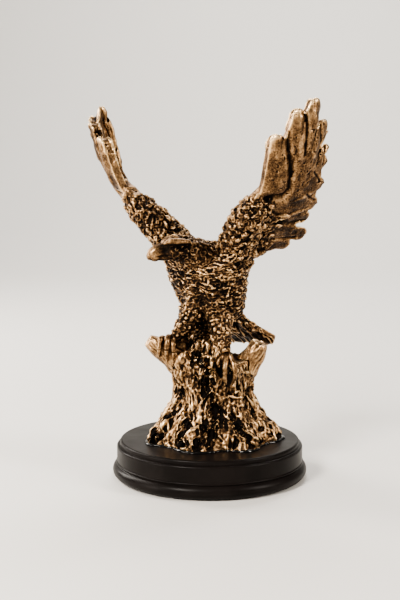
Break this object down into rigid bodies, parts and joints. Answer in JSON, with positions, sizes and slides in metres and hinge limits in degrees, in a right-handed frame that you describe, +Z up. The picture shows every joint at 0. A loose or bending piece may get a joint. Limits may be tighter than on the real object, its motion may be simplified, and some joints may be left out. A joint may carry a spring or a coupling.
{
  "type": "eagle statuette",
  "caption": "Antique-bronze eagle statuette: the bird lands on a gnarled tree stump with both wings raised, on a round black moulded plinth.",
  "frame": {"origin": "centre of the felt pad's underside, on the surface that the statuette stands on", "axes": "+Z up through the plinth's centre, -Y towards the viewer, +X to the viewer's right"},
  "size_m": [0.1522, 0.13, 0.2472],
  "materials": {
    "bronze_bird": "dark antique bronze, rubbed back to gold-bronze on the high points",
    "bronze_stump": "dark antique bronze bark, rubbed back to gold-bronze on the ridges",
    "black_plinth": "satin black lacquer",
    "bedding_compound": "glossy black",
    "felt": "pressed felt",
    "steel": "zinc plated",
    "dowel_bronze": "drawn rod"
  },
  "bodies": {
    "root": {"felt_pad": "felt", "plinth": "black_plinth", "plinth_screws": "steel", "plinth_washers": "steel", "bedding_bead": "bedding_compound", "tree_stump": "bronze_stump", "perch_branch": "bronze_stump", "snag_branch": "bronze_stump", "torso": "bronze_bird", "head": "bronze_bird", "left_wing": "bronze_bird", "right_wing": "bronze_bird", "tail": "bronze_bird", "left_leg": "bronze_bird", "right_leg": "bronze_bird", "left_foot": "bronze_bird", "right_foot": "bronze_bird", "wing_dowels": "dowel_bronze", "neck_dowel": "dowel_bronze", "tail_dowel": "dowel_bronze", "leg_dowels": "dowel_bronze", "foot_dowels": "dowel_bronze", "branch_dowels": "dowel_bronze"}
  },
  "joints": []
}
